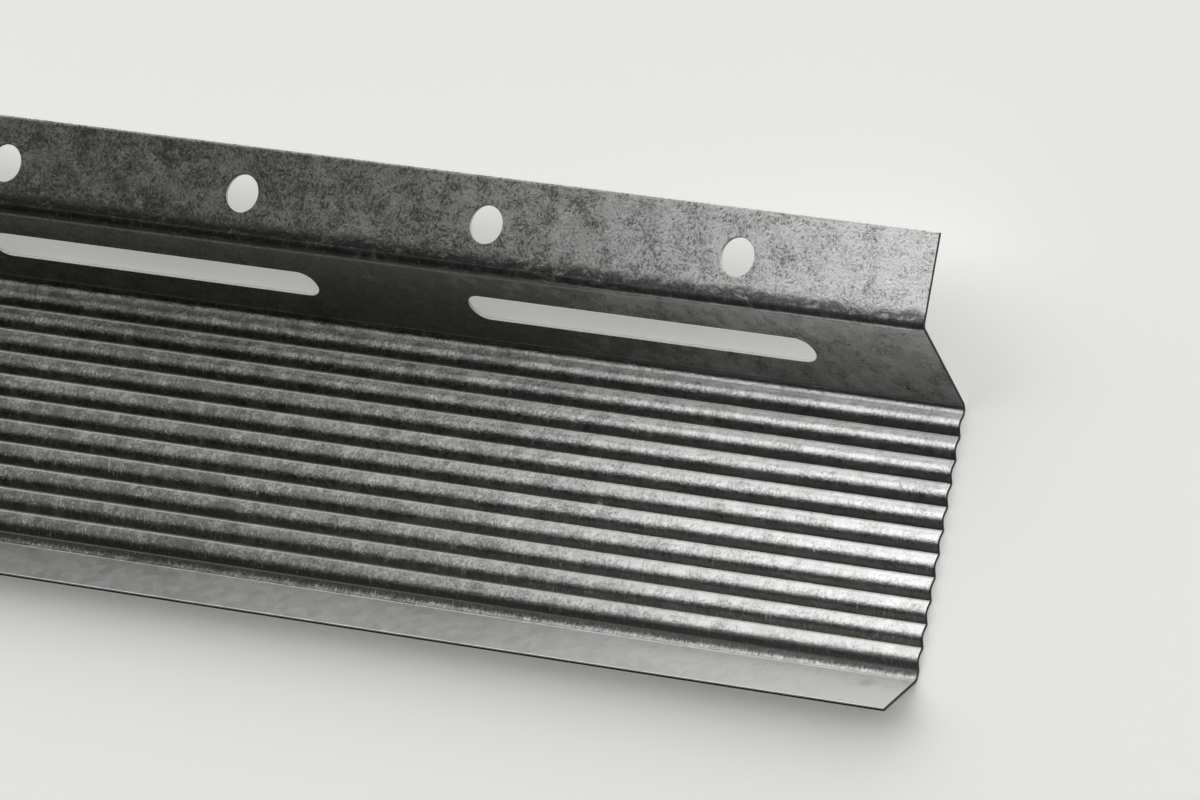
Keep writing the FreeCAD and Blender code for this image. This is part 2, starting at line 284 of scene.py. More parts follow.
@dataclass
class SheetSection:
    """Cross-section of the roll-formed sheet: flange, web, ribbed face and lip."""

    depth: float = 14.0
    thickness: float = 0.5
    bend_radius: float = 1.0
    flange_width: float = 12.4
    web_angle: float = 58.0
    web_margin: float = 0.25
    rib_pitch: float = 3.1
    rib_depth: float = 0.55
    rib_flank: float = 0.8
    rib_count: int = 11
    crest_share: float = 0.8
    lip_margin: float = 0.55
    lip_width: float = 8.4
    lip_angle: float = 55.0
    edge_round: float = 0.1
    bend_steps: int = 8
    rib_steps: int = 4

    def edge_fall(self) -> tuple[np.ndarray, np.ndarray, np.ndarray]:
        """The rounded edge of the cut sheet, as a quarter circle in three points.

        Returns:
            Distance from the edge, drop from the sheet's side and tilt of the normal, inwards.
        """
        tilt = np.radians([90.0, 45.0, 0.0])
        return self.edge_round * (1 - np.sin(tilt)), self.edge_round * (1 - np.cos(tilt)), tilt

    def stretches(self) -> list[Stretch]:
        """The sheet's way across the section.

        A bend is an arc on the sheet's middle. A rib is a wave of arcs joined by straight flanks,
        which climbs by the rib's depth over half a pitch. The tangent of half the flank's slope is
        that depth over the sum of half the pitch and the flank. The arcs reach over what the flank
        leaves of the half pitch, and crest_share of them is the crest's.

        Returns:
            The stretches, from the flange's free edge to the lip's.
        """
        web, lip = math.radians(self.web_angle), math.radians(self.lip_angle)
        outside = self.bend_radius + self.thickness
        middle = self.bend_radius + self.thickness / 2
        flange_run = self.flange_width - self.bend_radius * math.tan(web / 2)
        bends_height = (self.bend_radius + outside) * (1 - math.cos(web))
        web_run = (self.depth - self.thickness - bends_height) / math.sin(web)
        lip_run = self.lip_width - outside * math.tan(lip / 2)
        slope = 2 * math.atan(self.rib_depth / (self.rib_pitch / 2 + self.rib_flank))
        arcs = (self.rib_pitch / 2 - self.rib_flank * math.cos(slope)) / math.sin(slope) * slope
        crest, hollow = self.crest_share * arcs, (1 - self.crest_share) * arcs
        flank = Stretch("flank", self.rib_flank, 0.0, 1, Zone.FACE)
        ridge = Stretch("ridge", 2 * crest, 2 * slope, self.rib_steps, Zone.FACE)
        valley = Stretch("valley", 2 * hollow, -2 * slope, self.rib_steps, Zone.FACE)
        half_wave = Stretch("half_wave", hollow, -slope, self.rib_steps // 2, Zone.FACE)
        far, near, _ = np.diff(self.edge_fall()[0], append=0.0).tolist()
        return [
            Stretch("flange_edge", far, 0.0, 1, Zone.FLANGE),
            Stretch("flange_round", near, 0.0, 1, Zone.FLANGE),
            Stretch("flange", flange_run - self.edge_round, 0.0, 1, Zone.FLANGE),
            Stretch("flange_bend", middle * web, web, self.bend_steps, Zone.FACE),
            Stretch("web", web_run, 0.0, 1, Zone.WEB),
            Stretch("web_bend", middle * web, -web, self.bend_steps, Zone.FACE),
            Stretch("margin", self.web_margin, 0.0, 1, Zone.FACE),
            half_wave,
            *[flank, ridge, flank, valley] * (self.rib_count - 1),
            flank,
            ridge,
            flank,
            half_wave,
            Stretch("lip_margin", self.lip_margin, 0.0, 1, Zone.FACE),
            Stretch("lip_bend", middle * lip, -lip, self.bend_steps, Zone.FACE),
            Stretch("lip", lip_run - self.edge_round, 0.0, 1, Zone.LIP),
            Stretch("lip_round", near, 0.0, 1, Zone.LIP),
            Stretch("lip_edge", far, 0.0, 1, Zone.LIP),
        ]

    def trace(self, edge_y: float) -> Trace:
        """Follow the middle of the sheet across the section.

        Each step goes on by the chord of its arc, in the direction halfway through the step's turn.

        Args:
            edge_y: Place of the flange's free edge.

        Returns:
            The traced points.
        """
        names, lengths, turns, steps, zones = zip(*self.stretches())
        steps = np.array(steps)
        arc = np.repeat(np.array(lengths) / steps, steps)
        turn = np.repeat(np.array(turns) / steps, steps)
        heading = math.pi + np.concatenate([[0.0], np.cumsum(turn)])
        chord = arc * np.sinc(turn / (2 * math.pi))
        towards = heading[:-1] + turn / 2
        hops = chord[:, None] * np.stack([np.cos(towards), np.sin(towards)], axis=-1)
        start = np.array([[edge_y, self.depth - self.thickness / 2]])
        middle = start + np.concatenate([np.zeros((1, 2)), np.cumsum(hops, axis=0)])
        across = np.concatenate([[0.0], np.cumsum(arc)])
        first = np.concatenate([[0], np.cumsum(steps)])
        marks = np.zeros((len(middle), 3))
        for zone, begin, end in zip(zones, first[:-1], first[1:]):
            if zone is not Zone.FACE:
                marks[begin : end + 1, zone.value] = 1.0
        starts = {name: int(begin) for name, begin in zip(names, first)}
        return Trace(middle, heading, across, marks, starts)


@dataclass
class PunchedRow:
    """A row of round-ended openings along a flat, at a given place across the sheet or halfway."""

    first: float
    pitch: float
    length: float
    width: float
    count: int
    centre_across: float | None = None
    arc_steps: int = 24
    straight_steps: int = 4

    def outline(self) -> tuple[np.ndarray, np.ndarray]:
        """The opening's outline about its middle: two half circles and the straights between them.

        Returns:
            Middles of the rounding circles and unit vectors outwards, one row for each point.
        """
        half = (self.length - self.width) / 2
        arc = np.linspace(-math.pi / 2, math.pi / 2, self.arc_steps + 1)
        inner = np.linspace(1, -1, self.straight_steps + 1)[1:-1]
        side = np.concatenate([np.ones_like(arc), inner, -np.ones_like(arc), -inner])
        square = np.full_like(inner, math.pi / 2)
        angle = np.concatenate([arc, square, arc + math.pi, -square])
        middles = np.stack([half * side, np.zeros_like(side)], axis=-1)
        return middles, np.stack([np.cos(angle), np.sin(angle)], axis=-1)

    def columns(self, border: np.ndarray) -> tuple[np.ndarray, np.ndarray]:
        """Pair the outline's points with a cell border's points, in the order of their angles.

        Args:
            border: Points of the cell's border about the opening's middle.

        Returns:
            For each column of the patch, the outline's point and the border's point. One of them
            steps on from column to column, and the border's steps on halfway between its points.
        """
        middles, outward = self.outline()
        turn = 2 * math.pi
        rim = middles + outward * self.width / 2
        ring_angle = np.arctan2(rim[:, 1], rim[:, 0])
        border_angle = np.arctan2(border[:, 1], border[:, 0])
        border_order = np.argsort(border_angle)
        marks = border_angle[border_order]
        changes = (marks + np.append(marks[1:], marks[0] + turn)) / 2
        ring_angle = (ring_angle - changes[-1]) % turn
        changes = (changes[:-1] - changes[-1]) % turn
        ring_order = np.argsort(ring_angle)
        every = np.sort(np.concatenate([[0.0], ring_angle, changes]))
        ring = ring_order[np.searchsorted(ring_angle[ring_order], every, side="right") - 1]
        edge = border_order[np.searchsorted(changes, every, side="right")]
        return np.append(ring, ring[0]), np.append(edge, edge[0])


@dataclass
class ResilientChannel:
    """The whole strip: its section carried along its length, with the rows of holes and slots.

    Rows begin at the end at +X, and the flats are split into cells from first_cell on.
    """

    length: float = 3000.0
    cell: float = 20.0
    first_cell: float = 7.5
    section: SheetSection = field(default_factory=SheetSection)
    holes: PunchedRow = field(
        default_factory=partial(
            PunchedRow, first=30.0, pitch=40.0, length=5.2, width=5.2, count=74, centre_across=6.5
        )
    )
    slots: PunchedRow = field(
        default_factory=partial(
            PunchedRow, first=47.5, pitch=80.0, length=55.0, width=4.8, count=37
        )
    )

    def stations(self) -> tuple[np.ndarray, np.ndarray, np.ndarray]:
        """Places along the strip, from the end at +X to the other.

        Returns:
            X of each station, how far the sides draw in there, and the normals' tilt to the end.
        """
        away, drop, tilt = self.section.edge_fall()
        inner = np.arange(self.first_cell, self.length - 2 * self.section.edge_round, self.cell)
        x = self.length / 2 - np.concatenate([away, inner, self.length - away[::-1]])
        flat = np.zeros_like(inner)
        draw = np.concatenate([drop, flat, drop[::-1]])
        return x, draw, np.concatenate([tilt, flat, -tilt[::-1]])

    def punched_span(self) -> tuple[float, float]:
        """X of the two ends of the stretch whose flats are made of punched cells."""
        start = self.length / 2 - self.first_cell
        return start - self.holes.pitch * self.holes.count, start

    def swept(self, trace: Trace) -> Surface:
        """Carry the closed outline of the section along the strip, and close its two ends.

        The outline goes along the upper side of the sheet and back along the lower one, half a
        thickness from the middle. Near a cut edge both sides draw in by the edge's fall. What the
        finish reads as cut is 1 at the strip's ends and half that on the lip's edge.

        Args:
            trace: The middle of the sheet.

        Returns:
            The surface, without the cells of the flange and the web that are punched.
        """
        _, drop, tilt = self.section.edge_fall()
        count = len(trace.middle)
        edge_drop, edge_tilt = np.zeros(count), np.zeros(count)
        edge_drop[:3], edge_drop[-3:] = drop, drop[::-1]
        edge_tilt[:3], edge_tilt[-3:] = -tilt, tilt[::-1]
        out = trace.upward()
        lift = (self.section.thickness / 2 - edge_drop)[:, None]
        aside = trace.along() * np.sin(edge_tilt)[:, None]
        upright = out * np.cos(edge_tilt)[:, None]
        loop = np.concatenate([trace.middle + lift * out, (trace.middle - lift * out)[::-1]])
        loop_normal = np.concatenate([upright + aside, (aside - upright)[::-1]])
        loop_across = np.concatenate([trace.across, trace.across[::-1]])
        loop_depth = np.concatenate([lift[:, 0], -lift[::-1, 0]])
        loop_zones = np.concatenate([trace.zones, trace.zones[::-1]])

        x, draw, lean = self.stations()
        shape = (len(x), len(loop))
        yz = loop[None] - draw[:, None, None] * loop_normal[None]
        places = np.concatenate([np.broadcast_to(x[:, None, None], (*shape, 1)), yz], axis=-1)
        side = loop_normal[None] * np.cos(lean)[:, None, None]
        ahead = np.broadcast_to(np.sin(lean)[:, None, None], (*shape, 1))
        normals = np.concatenate([ahead, side], axis=-1)
        rolled = np.stack(np.broadcast_arrays(x[:, None], loop_across, loop_depth), axis=-1)
        zones = np.broadcast_to(loop_zones, (*shape, 3))
        lip_edge = (edge_drop > 0) & (np.arange(count) > trace.starts["lip"])
        cut = np.maximum(draw[:, None] > 0, 0.5 * np.concatenate([lip_edge, lip_edge[::-1]]))

        numbers = np.arange(shape[0] * shape[1]).reshape(shape)
        closed = np.concatenate([numbers, numbers[:, :1]], axis=1)
        low, high = self.punched_span()
        punched_rows = (x[:-1] <= high + WELD) & (x[1:] >= low - WELD)
        flats = np.zeros(shape[1], bool)
        starts = np.array([trace.starts["flange"], trace.starts["web"]])
        flats[starts] = True
        flats[shape[1] - 2 - starts] = True
        keep = ~(punched_rows[:, None] & flats[None])
        sides = Surface.grid_triangles(closed, keep)
        caps = [
            Surface.grid_triangles(np.stack([row[:count], row[count:][::-1]]))
            for row in (numbers[0], numbers[-1])
        ]
        return Surface(
            places.reshape(-1, 3),
            normals.reshape(-1, 3),
            rolled.reshape(-1, 3),
            zones.reshape(-1, 3),
            cut.ravel(),
            np.concatenate([sides, *caps]),
        )

    def punched(self, row: PunchedRow, trace: Trace, flat: str) -> Surface:
        """The cells of a flat round a row of openings, with the openings' rounded rims and walls.

        In the flat's own plane each cell is a grid: round the opening, and from the cell's border
        on the upper side to the rim, down the wall and out to the border on the lower side.

        Args:
            row: The openings.
            trace: The middle of the sheet.
            flat: Name of the stretch that they are punched in.

        Returns:
            The surface of all the cells.
        """
        at = trace.starts[flat]
        begin, end = trace.middle[at], trace.middle[at + 1]
        along, out = trace.along()[at], trace.upward()[at]
        given = row.centre_across
        centre = self.web_centre() if given is None else given - trace.across[at]
        run = trace.across[at + 1] - trace.across[at]
        half = self.section.thickness / 2

        middle_x = self.length / 2 - row.first
        lines = self.first_cell + np.arange(0, row.pitch + WELD, self.cell)
        cuts = self.length / 2 - lines - middle_x
        border = np.concatenate(
            [
                np.stack([cuts, np.full_like(cuts, -centre)], axis=-1),
                np.stack([cuts, np.full_like(cuts, run - centre)], axis=-1),
            ]
        )
        ring, edge = row.columns(border)
        middles, outward = row.outline()
        middles, outward, border = middles[ring], outward[ring], border[edge]

        away, drop, tilt = self.section.edge_fall()
        reach = np.concatenate([away[::-1], away])
        depth = np.concatenate([half - drop[::-1], drop - half])
        lean = np.concatenate([tilt[::-1], math.pi - tilt])
        rings = middles[None] + outward[None] * (row.width / 2 + reach)[:, None, None]
        flat_places = np.concatenate([border[None], rings, border[None]])
        heights = np.concatenate([[half], depth, [-half]])
        leans = np.concatenate([[0.0], lean, [math.pi]])

        shape = (row.count, *flat_places.shape[:2])
        middles_x = middle_x - row.pitch * np.arange(row.count)
        x = middles_x[:, None, None] + flat_places[None, :, :, 0]
        sideways = flat_places[:, :, 1] + centre
        yz = begin + sideways[..., None] / run * (end - begin) + heights[:, None, None] * out
        places = np.concatenate([x[..., None], np.broadcast_to(yz, (*shape, 2))], axis=-1)
        inward = -outward[None] * np.sin(leans)[:, None, None]
        turned = inward[..., 1:] * along + np.cos(leans)[:, None, None] * out
        one_cell = np.concatenate([inward[..., :1], turned], axis=-1)
        normals = np.broadcast_to(one_cell, (*shape, 3))
        across = trace.across[at] + sideways
        rolled = np.stack(np.broadcast_arrays(x, across, heights[:, None]), axis=-1)
        zones = np.broadcast_to(trace.zones[at], (*shape, 3))

        numbers = np.arange(shape[1] * shape[2]).reshape(shape[1:])
        cell = Surface.grid_triangles(numbers)
        triangles = cell[None] + (np.arange(row.count) * numbers.size)[:, None, None]
        return Surface(
            places.reshape(-1, 3),
            normals.reshape(-1, 3),
            rolled.reshape(-1, 3),
            zones.reshape(-1, 3),
            np.zeros(x.size),
            triangles.reshape(-1, 3),
        )

    def web_centre(self) -> float:
        """Find the middle of the slots, which is halfway up the web.

        Returns:
            Distance from the upper end of the web's flat.
        """
        angle = math.radians(self.section.web_angle)
        slope = (self.section.depth - self.section.thickness) / math.sin(angle)
        return slope / 2 - self.section.bend_radius * math.tan(angle / 2)

    def build(self, edge_y: float) -> bpy.types.Object:
        """Make the strip's mesh and put it in the scene.

        Args:
            edge_y: Place of the flange's free edge, in millimetres.

        Returns:
            The strip as one closed object.
        """
        trace = self.section.trace(edge_y)
        parts = [
            self.swept(trace),
            self.punched(self.holes, trace, "flange"),
            self.punched(self.slots, trace, "web"),
        ]
        mesh = Surface.join(parts).mesh("channel_strip")
        strip = bpy.data.objects.new("channel_strip", mesh)
        bpy.context.scene.collection.objects.link(strip)
        return strip


@dataclass(frozen=True)
class Pattern:
    """A random field on the sheet: its features' size in millimetres and how far they stretch."""

    size: float
    detail: float
    rough: float
    along: float = 1.0
    across: float = 1.0
    twist: float = 0.0


@dataclass(frozen=True)
class PaleLine:
    """A pale line of chalk along the strip, in millimetres, with the share of chalk at its middle.
    """

    across: float
    reach: float
    share: float


@dataclass(frozen=True)
class Spot:
    """A round mark on the sheet's upper side, in millimetres, with its strength at its middle.

    It fades from core to edge, in reaches from its middle, and uneven is the grain's part in that.
    """

    along: float
    across: float
    reach: float
    share: float
    depth: float = 0.25
    uneven: float = 1.2
    edge: float = 0.4
    core: float = -0.3


@dataclass(frozen=True)
class Spans:
    """Where the finish changes, in millimetres."""

    # Along the strip, from its middle.
    uncovered: Span = (1510.0, 1374.0)
    open_flange: Span = (1520.0, 1405.0)
    # Across the rolled-out sheet, from the flange's free edge.
    bend_side: Span = (7.5, 11.0)
    bend_end: Span = (12.95, 12.6)
    past_web: Span = (14.0, 15.0)
    web_foot: Span = (14.0, 27.0)
    ribs_begin: Span = (29.2, 29.6)
    ribs_end: Span = (65.8, 65.4)
    near_lip: Span = (50.0, 63.0)
    fold_begin: Span = (64.2, 64.7)
    first_crest: float = 30.82
    crest_pitch: float = 3.327
    # Across it too, with the patterns added that make the edge ragged.
    dark_band_edge: Span = (13.95, 15.25)
    fold_end: Span = (69.15, 67.75)
    # Above the floor.
    valley: Span = (0.64, 0.52)
    crest: Span = (0.7, 0.98)
    # From the sheet's middle towards one of its sides.
    upper: Span = (0.1, 0.2)
    wall: Span = (0.21, 0.16)


@dataclass(frozen=True)
class GalvanisedSteel:
    """Hot-dip galvanised sheet steel, skin-passed, roll-formed and then left out in the weather.

    To the eye the zinc is a satin metal, and the skin pass leaves a feathery grain in it that
    breaks up what it mirrors, so that the edge of a reflection looks ragged. Away from the end that
    lay covered, weather dulls it with a grey film, on the flange with a darker patina, and with
    dark oxide in specks that gather in patches. Before the flange's bend a near-black band with
    ragged edges is painted as the dark reflection of the sheet curving into the bend, and a like
    band runs before the lip's fold. The web's film is blotched, and its added darkness over the
    whole web, more towards its foot, is painted shade, as is the darkening of the ribs near the lip
    at the covered end and of the ribs' sides that face the lip. Chalky zinc salts are pale and
    matt: in the ribs' valleys, on rubbed lines and flecks, and as a bloom on the lip. The pale line
    along the flange's free edge is a painted highlight.

    The real grain is about 0.1 mm, and is drawn three to four times as coarse, to show at the
    photograph's scale.
    """

    name: str = "galvanised_steel_weathered"
    bright: str = "#e8e8e8"
    soiled: str = "#6f7069"
    # Grey film, and also the painted shade on the web and on the ribs near the lip.
    patina: str = "#5b5c57"
    # Oxide, and also the painted shade on the ribs' sides that face the lip.
    oxide: str = "#2c2d2a"
    # Near-black of the bands, which before the flange's bend is a painted dark reflection.
    crust: str = "#1d1e1c"
    dirt: str = "#857864"
    chalk: str = "#dcd9d0"
    sheared: str = "#333436"
    roughness: float = 0.285
    crystal: float = 1.6
    strokes: Pattern = Pattern(size=0.36, detail=4.0, rough=0.68, along=1.43, twist=0.5)
    hairs: Pattern = Pattern(size=0.3, detail=4.0, rough=0.65, across=2.86)
    streaks: Pattern = Pattern(size=0.4, detail=3.0, rough=0.6, along=33.0)
    blots: Pattern = Pattern(size=1.1, detail=4.0, rough=0.65, along=2.0, twist=0.4)
    patches: Pattern = Pattern(size=4.0, detail=4.0, rough=0.6, twist=0.3)
    clouds: Pattern = Pattern(size=90.0, detail=2.0, rough=0.5)
    # What raises the patterns, and so thins the specks out, or lowers them.
    speck_shifts: tuple[tuple[str, float], ...] = (
        ("blots", 0.21),
        ("strokes", 0.6),
        ("weather", -0.05),
        ("flange", 0.024),
        ("exposed", -0.02),
        ("bend_side", -0.02),
        ("web", 0.03),
        ("lip", 0.15),
        ("fresh_face", 0.07),
        ("crest", -0.06),
    )
    spans: Spans = Spans()
    # The line at the flange's free edge is a painted highlight of its rounded edge; the lines at
    # the web's two ends are rubbed chalk.
    pale_lines: tuple[PaleLine, ...] = (
        PaleLine(across=0.0, reach=0.45, share=0.6),
        PaleLine(across=13.65, reach=0.35, share=0.35),
        PaleLine(across=27.3, reach=0.22, share=0.35),
    )
    splashes: tuple[Spot, ...] = (
        Spot(along=1446.7, across=49.3, reach=1.0, share=0.8),
        Spot(along=1458.2, across=56.7, reach=0.6, share=0.6),
    )
    smudges: tuple[Spot, ...] = (
        Spot(along=1492.5, across=25.7, reach=0.35, share=0.8),
        Spot(along=1494.0, across=69.6, reach=1.4, share=0.3),
    )

    def places(self) -> list[Row]:
        """Recipe rows that find the strip's stretches and what weather did to them.

        Returns:
            The rows. A term is a number or an earlier row's title, and a later row of the same
            title takes the earlier one's place.
        """
        spans = self.spans
        return [
            ("height", Rule.TIMES, "height", 1 / MILLIMETRE),
            ("flats", Rule.PLUS, "flange", "web"),
            ("flats", Rule.PLUS, "flats", "lip"),
            ("curved", Rule.MINUS, 1.0, "flats"),
            ("past_web", Rule.STEP, "across", *spans.past_web),
            ("face", Rule.TIMES, "curved", "past_web"),
            # The ribs, on the side that lies up: dirt stays in the valleys, and crests are rubbed.
            ("upper", Rule.STEP, "depth", *spans.upper),
            ("ribs_begin", Rule.STEP, "across", *spans.ribs_begin),
            ("ribs_end", Rule.STEP, "across", *spans.ribs_end),
            ("ribs", Rule.TIMES, "ribs_begin", "ribs_end"),
            ("ribs", Rule.TIMES, "ribs", "upper"),
            ("low", Rule.STEP, "height", *spans.valley),
            ("valley", Rule.TIMES, "ribs", "low"),
            ("high", Rule.STEP, "height", *spans.crest),
            ("crest", Rule.TIMES, "ribs", "high"),
            # The end at +X lay covered, so the weather comes in with the distance from it.
            ("uncovered", Rule.STEP, "along", *spans.uncovered),
            ("cloudy", Rule.STEP, "clouds", 0.3, 0.7, 0.8, 1.0),
            ("weather", Rule.TIMES, "uncovered", "cloudy"),
            ("fresh", Rule.MINUS, 1.0, "weather"),
            ("fresh_face", Rule.TIMES, "fresh", "face"),
            ("open_flange", Rule.STEP, "along", *spans.open_flange),
            ("exposed", Rule.TIMES, "flange", "open_flange"),
            ("bend_side", Rule.STEP, "across", *spans.bend_side),
            ("bend_side", Rule.TIMES, "bend_side", "exposed"),
            # A near-black band before the flange's bend, painted as the dark reflection of the
            # sheet curving into the bend, and another before the lip's fold, both with ragged
            # edges.
            ("ragged", Rule.TIMES_PLUS, "hairs", 2.0, "across"),
            ("ragged", Rule.TIMES_PLUS, "strokes", 1.5, "ragged"),
            ("bend_end", Rule.TIMES_PLUS, "weather", -0.55, "across"),
            ("bend_end", Rule.STEP, "bend_end", *spans.bend_end),
            ("fold", Rule.STEP, "ragged", *spans.fold_end),
            ("fold_begin", Rule.STEP, "across", *spans.fold_begin),
            ("fold", Rule.TIMES, "fold", "fold_begin"),
            ("ragged", Rule.TIMES_PLUS, "strokes", 1.2, "across"),
            ("ragged", Rule.TIMES_PLUS, "blots", 3.5, "ragged"),
            ("ragged", Rule.TIMES_PLUS, "patches", 3.0, "ragged"),
            ("strain", Rule.STEP, "ragged", *spans.dark_band_edge),
            ("gaps", Rule.STEP, "blots", 0.52, 0.7, 1.0, 0.45),
            ("strain", Rule.TIMES, "strain", "gaps"),
            ("strain", Rule.TIMES, "strain", "bend_end"),
            ("strain", Rule.LARGER, "strain", "fold"),
            # The side of a rib that faces the lip, from crest to valley, on the ribs near the lip,
            # which takes painted shade.
            ("wave", Rule.MINUS, "across", spans.first_crest),
            ("wave", Rule.TIMES, "wave", 1 / spans.crest_pitch),
            ("wave", Rule.FRACTION, "wave"),
            ("lee", Rule.STEP, "wave", 0.05, 0.2),
            ("lee_end", Rule.STEP, "wave", 0.55, 0.42),
            ("lee", Rule.TIMES, "lee", "lee_end"),
            ("lee", Rule.TIMES, "lee", "ribs"),
            ("near_lip", Rule.STEP, "across", *spans.near_lip),
            ("lee", Rule.TIMES, "lee", "near_lip"),
            # Ribs near the lip at the covered end, which take painted shade in the film's colour.
            ("fresh_lip", Rule.TIMES, "near_lip", "fresh_face"),
        ]

    def soiling(self) -> list[Row]:
        """Recipe rows for what darkens the zinc: oxide, the near-black bands, grey film, patina,
        dirt and painted shade.

        Returns:
            Rows as in places. A speck of oxide is where the patterns together fall below a level,
            and the weather and the place on the strip raise or lower them.
        """
        return [
            ("specks", Rule.TIMES_PLUS, "patches", 0.3, -0.055),
            *(("specks", Rule.TIMES_PLUS, *shift, "specks") for shift in self.speck_shifts),
            ("bare", Rule.STEP, "specks", 0.55, 0.37),
            ("stain", Rule.TIMES_PLUS, "flange", 0.24, 0.5),
            ("stain", Rule.TIMES_PLUS, "weather", 0.17, "stain"),
            ("stain", Rule.SMALLER, "stain", 1.0),
            ("stain", Rule.TIMES, "stain", "bare"),
            # The ribs' sides that face the lip take painted shade in the oxide's colour, and the
            # bands before the bend and the fold are near-black.
            ("sheltered", Rule.STEP, "hairs", 0.5, 0.7, 0.66, 0.2),
            ("sheltered", Rule.TIMES, "sheltered", "lee"),
            ("stain", Rule.LARGER, "stain", "sheltered"),
            ("crusted", Rule.TIMES_PLUS, "weather", 0.1, 0.82),
            ("crusted", Rule.TIMES, "crusted", "strain"),
            *self.spot_rows("stain", self.smudges),
            # The film is thick where rain reached, thin and late on the lip. Near the lip at the
            # covered end it is painted shade, and on the web it is blotched and its added darkness,
            # more towards the web's foot, is painted shade.
            ("film", Rule.TIMES_PLUS, "flange", 0.1, 1.0),
            ("film", Rule.TIMES_PLUS, "lip", -0.82, "film"),
            ("film", Rule.TIMES, "film", "weather"),
            ("film", Rule.TIMES_PLUS, "fresh_lip", 0.16, "film"),
            ("lip_film", Rule.TIMES, "weather", "weather"),
            ("lip_film", Rule.TIMES, "lip_film", "weather"),
            ("lip_film", Rule.TIMES, "lip_film", "lip"),
            ("film", Rule.TIMES_PLUS, "lip_film", 0.24, "film"),
            ("web_foot", Rule.STEP, "across", *self.spans.web_foot),
            ("blotch", Rule.TIMES_PLUS, "patches", 1.5, -1.36),
            ("blotch", Rule.TIMES_PLUS, "strokes", 2.0, "blotch"),
            ("blotch", Rule.TIMES_PLUS, "web_foot", 0.15, "blotch"),
            ("film", Rule.TIMES_PLUS, "web", "blotch", "film"),
            ("lip_cloud", Rule.TIMES_PLUS, "patches", 0.5, -0.25),
            ("film", Rule.TIMES_PLUS, "lip", "lip_cloud", "film"),
            # Each crystal of the zinc has its own brightness.
            ("film", Rule.TIMES_PLUS, "crystals", 0.2, "film"),
            ("film", Rule.MINUS, "film", 0.1),
            ("aged", Rule.TIMES, "exposed", 0.62),
            ("grime", Rule.TIMES_PLUS, "weather", -0.4, 0.6),
            ("grime", Rule.TIMES, "grime", "valley"),
        ]

    def wear(self) -> list[Row]:
        """Recipe rows for pale flecks, rubbed lines, a painted edge highlight, splashes and cut
        edges.

        Returns:
            Rows as in places. The wall of a punched opening is bright, and a sheared end is dark.
            The lip's sheared edge is dark only on its lower half, below the burnished part.
        """
        return [
            ("flecks", Rule.STEP, "hairs", 0.58, 0.73),
            ("fleck_patch", Rule.STEP, "patches", 0.42, 0.6, 0.1, 0.5),
            ("flecks", Rule.TIMES, "flecks", "fleck_patch"),
            ("fleck_share", Rule.TIMES_PLUS, "flange", -0.6, 0.6),
            ("fleck_share", Rule.TIMES_PLUS, "crest", 0.8, "fleck_share"),
            ("chalk", Rule.TIMES, "flecks", "fleck_share"),
            ("settled", Rule.TIMES, "valley", "weather"),
            ("chalk", Rule.TIMES_PLUS, "settled", 0.45, "chalk"),
            ("bloom", Rule.TIMES, "lip", "fresh"),
            ("chalk", Rule.TIMES_PLUS, "bloom", 0.3, "chalk"),
            ("rubbed", Rule.STEP, "strokes", 0.3, 0.55),
            *(row for pale_line in self.pale_lines for row in self.pale_line_rows(pale_line)),
            *self.spot_rows("chalk", self.splashes),
            ("wall", Rule.UNSIGNED, "depth"),
            ("wall", Rule.STEP, "wall", *self.spans.wall),
            ("uncut", Rule.MINUS, 0.8, "cut"),
            ("wall", Rule.TIMES, "wall", "uncut"),
            ("chalk", Rule.LARGER, "chalk", "wall"),
            ("tear", Rule.TIMES_PLUS, "cut", -0.7, "depth"),
            ("tear", Rule.STEP, "tear", -0.25, -0.35),
            ("torn", Rule.STEP, "cut", 0.0, 0.4),
            ("torn", Rule.TIMES, "torn", "tear"),
            ("dull", Rule.TIMES, "crusted", "curved"),
            ("dull", Rule.TIMES, "dull", 0.55),
            ("dull", Rule.LARGER, "dull", "chalk"),
            ("metal", Rule.MINUS, 1.0, "dull"),
        ]

    def touch(self) -> list[Row]:
        """Recipe rows for roughness and relief.

        Returns:
            Rows as in places. The relief is in millimetres, and is the grain, hairs across the
            ribbed face and the rolls' streaks along the strip, added up.
        """
        return [
            ("rough", Rule.TIMES_PLUS, "weather", 0.04, self.roughness),
            ("rough", Rule.TIMES_PLUS, "lip", 0.1, "rough"),
            ("grain", Rule.TIMES, "curved", "weather"),
            ("grain", Rule.TIMES_PLUS, "grain", 0.03, 0.045),
            ("grain", Rule.TIMES, "grain", "strokes"),
            ("hairy", Rule.TIMES_PLUS, "weather", 0.08, 0.085),
            ("hairy", Rule.TIMES_PLUS, "hairy", "face", 0.01),
            ("relief", Rule.TIMES_PLUS, "hairy", "hairs", "grain"),
            ("relief", Rule.TIMES_PLUS, "streaks", 0.008, "relief"),
        ]

    def pale_line_rows(self, pale_line: PaleLine) -> list[Row]:
        """Recipe rows that add one pale line to the chalk, broken up by the grain.

        Args:
            pale_line: The line.

        Returns:
            Rows as in places.
        """
        return [
            ("off", Rule.MINUS, "across", pale_line.across),
            ("off", Rule.UNSIGNED, "off"),
            ("line", Rule.STEP, "off", pale_line.reach, 0.0, 0.0, pale_line.share),
            ("line", Rule.TIMES, "line", "rubbed"),
            ("chalk", Rule.LARGER, "chalk", "line"),
        ]

